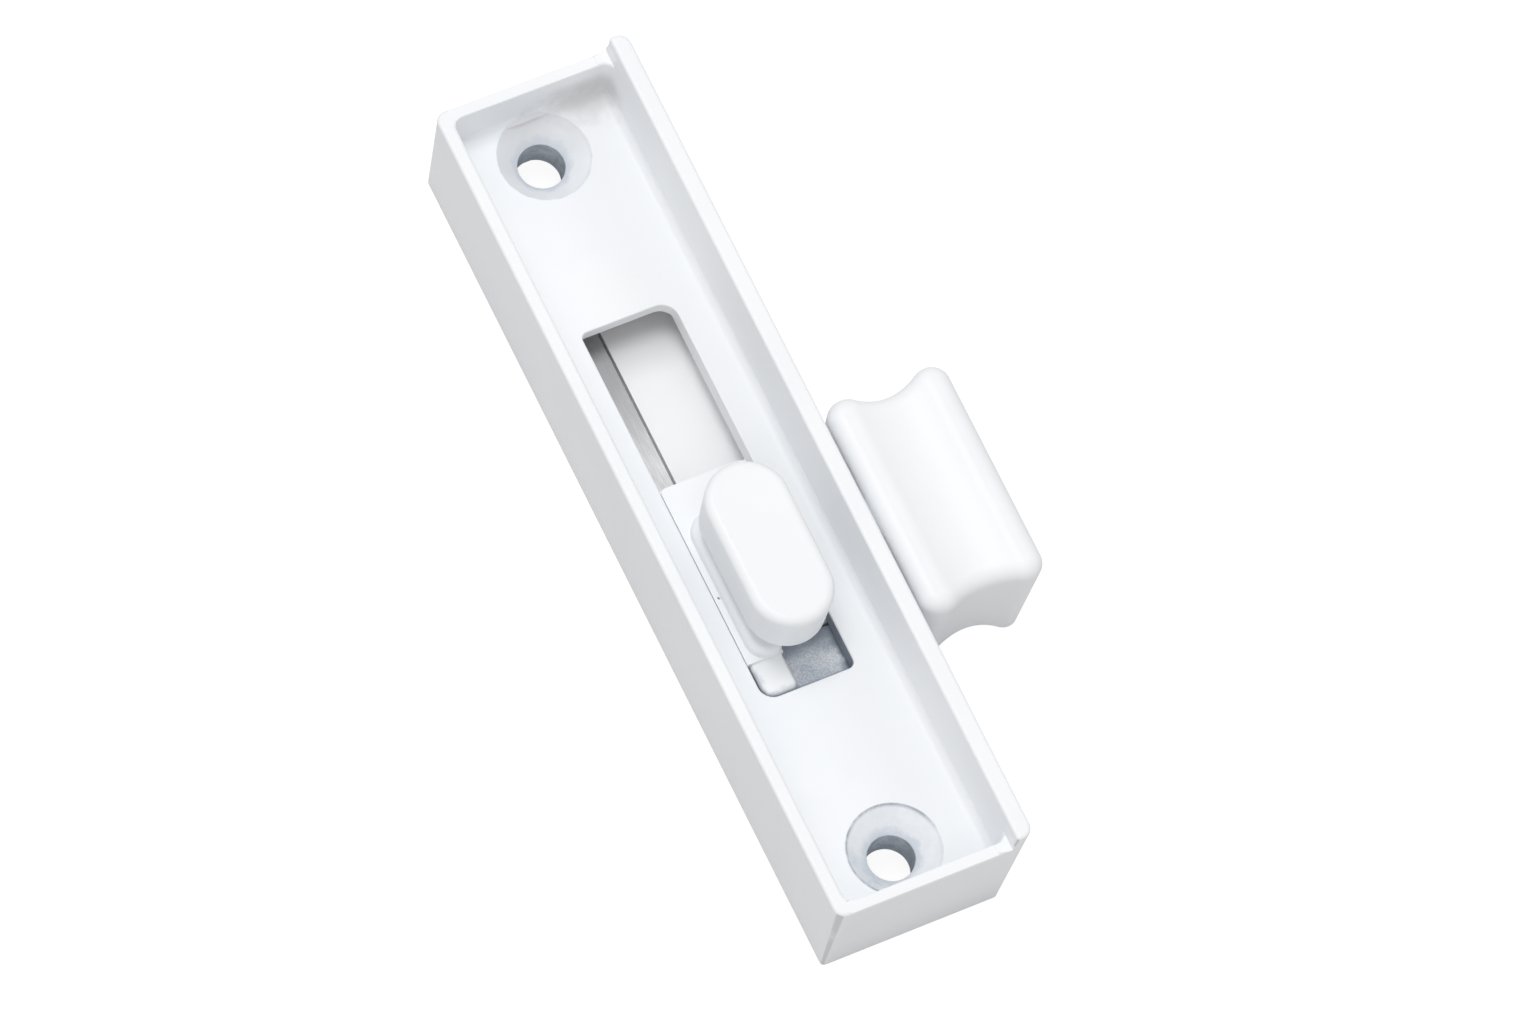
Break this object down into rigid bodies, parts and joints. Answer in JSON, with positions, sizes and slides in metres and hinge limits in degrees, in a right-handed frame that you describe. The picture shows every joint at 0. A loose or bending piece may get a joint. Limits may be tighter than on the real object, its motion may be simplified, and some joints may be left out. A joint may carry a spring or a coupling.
{
  "type": "slide catch",
  "caption": "Slide catch for a sliding door: a white tray screwed to the door's edge, with a mushroom lug driven along a slot by an outside finger grip.",
  "frame": {"origin": "on the plane of the back, midway between the two fixing holes", "axes": "+Z out of the tray, away from the door's edge; +Y along the housing, the way the slide moves; +X across the housing, towards the finger grip"},
  "size_m": [0.0355, 0.094, 0.0183],
  "materials": {
    "white_coat": "satin powder coat, very slightly blue white",
    "white_liner": "smooth moulded plastic",
    "zinc_plate": "bare zinc grey, faintly mottled",
    "brushed_strip": "brushed lengthways",
    "spring_steel": "dull spring steel",
    "screw_steel": "plated steel"
  },
  "bodies": {
    "housing_body": {"housing": "white_coat", "back_plate": "zinc_plate", "back_plate_screw_1": "screw_steel", "back_plate_screw_2": "screw_steel", "back_plate_screw_3": "screw_steel", "back_plate_screw_4": "screw_steel", "guide_liner": "white_liner", "stop_block": "zinc_plate", "stop_screw_1": "screw_steel", "stop_screw_2": "screw_steel", "liner_screw_1": "screw_steel", "liner_screw_2": "screw_steel", "runner_strip": "brushed_strip", "runner_rivet_1": "brushed_strip", "runner_rivet_2": "brushed_strip"},
    "slide_body": {"slide_carriage": "white_coat", "catch_lug": "white_coat", "lug_screw_1": "screw_steel", "lug_screw_2": "screw_steel", "finger_grip": "white_coat", "grip_screw_1": "screw_steel", "grip_screw_2": "screw_steel", "bow_spring": "spring_steel"}
  },
  "joints": [
    {"name": "catch_slide", "type": "slide", "parent": "housing_body", "child": "slide_body", "axis": [0, 1, 0], "range_m": [0, 0.018]}
  ]
}
